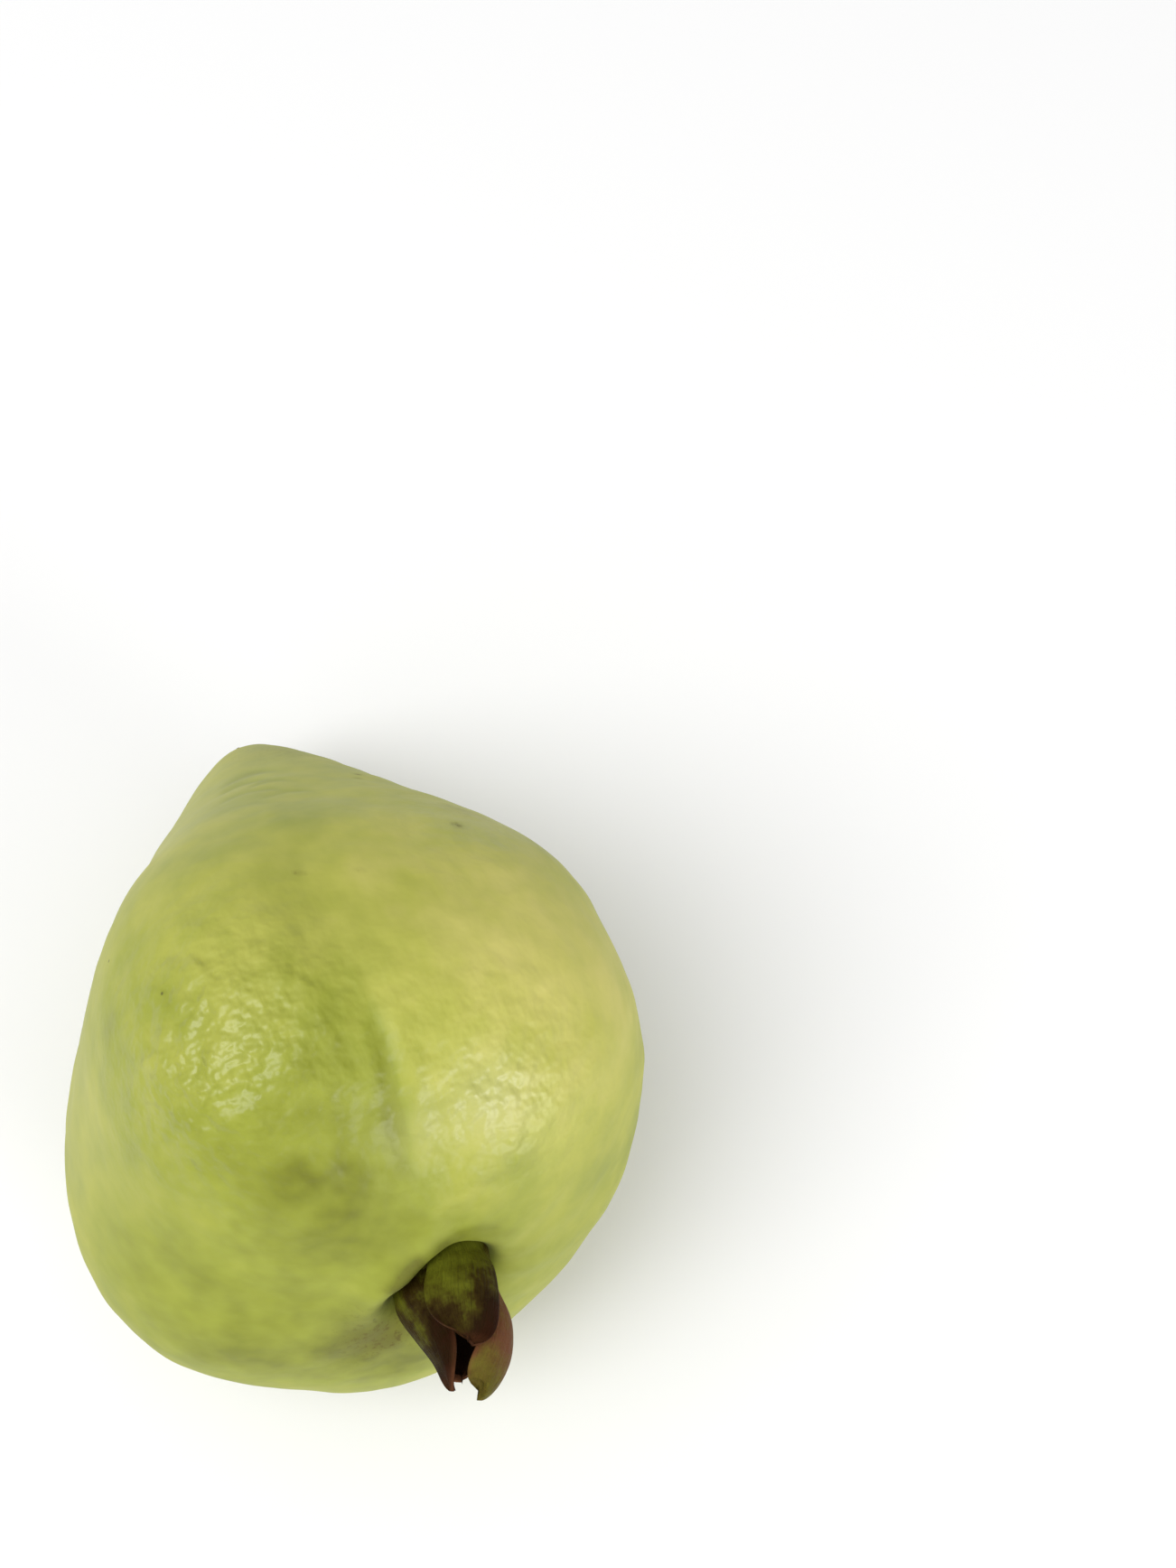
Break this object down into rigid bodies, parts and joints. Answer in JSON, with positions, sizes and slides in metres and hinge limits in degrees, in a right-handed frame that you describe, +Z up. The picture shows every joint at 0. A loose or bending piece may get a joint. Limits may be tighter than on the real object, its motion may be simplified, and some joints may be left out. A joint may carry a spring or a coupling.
{
  "type": "guava",
  "caption": "Whole pear-shaped pale green guava lying on its side on a small flat spot, with softly lobed skin, a dried calyx in its basin and a stub of stem.",
  "frame": {"origin": "on the surface the fruit lies on, under the middle of the whole thing", "axes": "+Z up; the fruit's length runs along Y, with the calyx at -Y, tilted up, and the stem at +Y, low"},
  "size_m": [0.0834, 0.1104, 0.0883],
  "materials": {
    "guava_skin": "waxy pale green fruit skin, semi-gloss, finely bumpy",
    "dried_calyx": "dry leathery sepals, olive at the base, brown to maroon at the edges",
    "woody_stem": "dull olive-brown bark with a dark cut end"
  },
  "bodies": {
    "root": {"fruit": "guava_skin", "calyx": "dried_calyx", "stem": "woody_stem"}
  },
  "joints": []
}
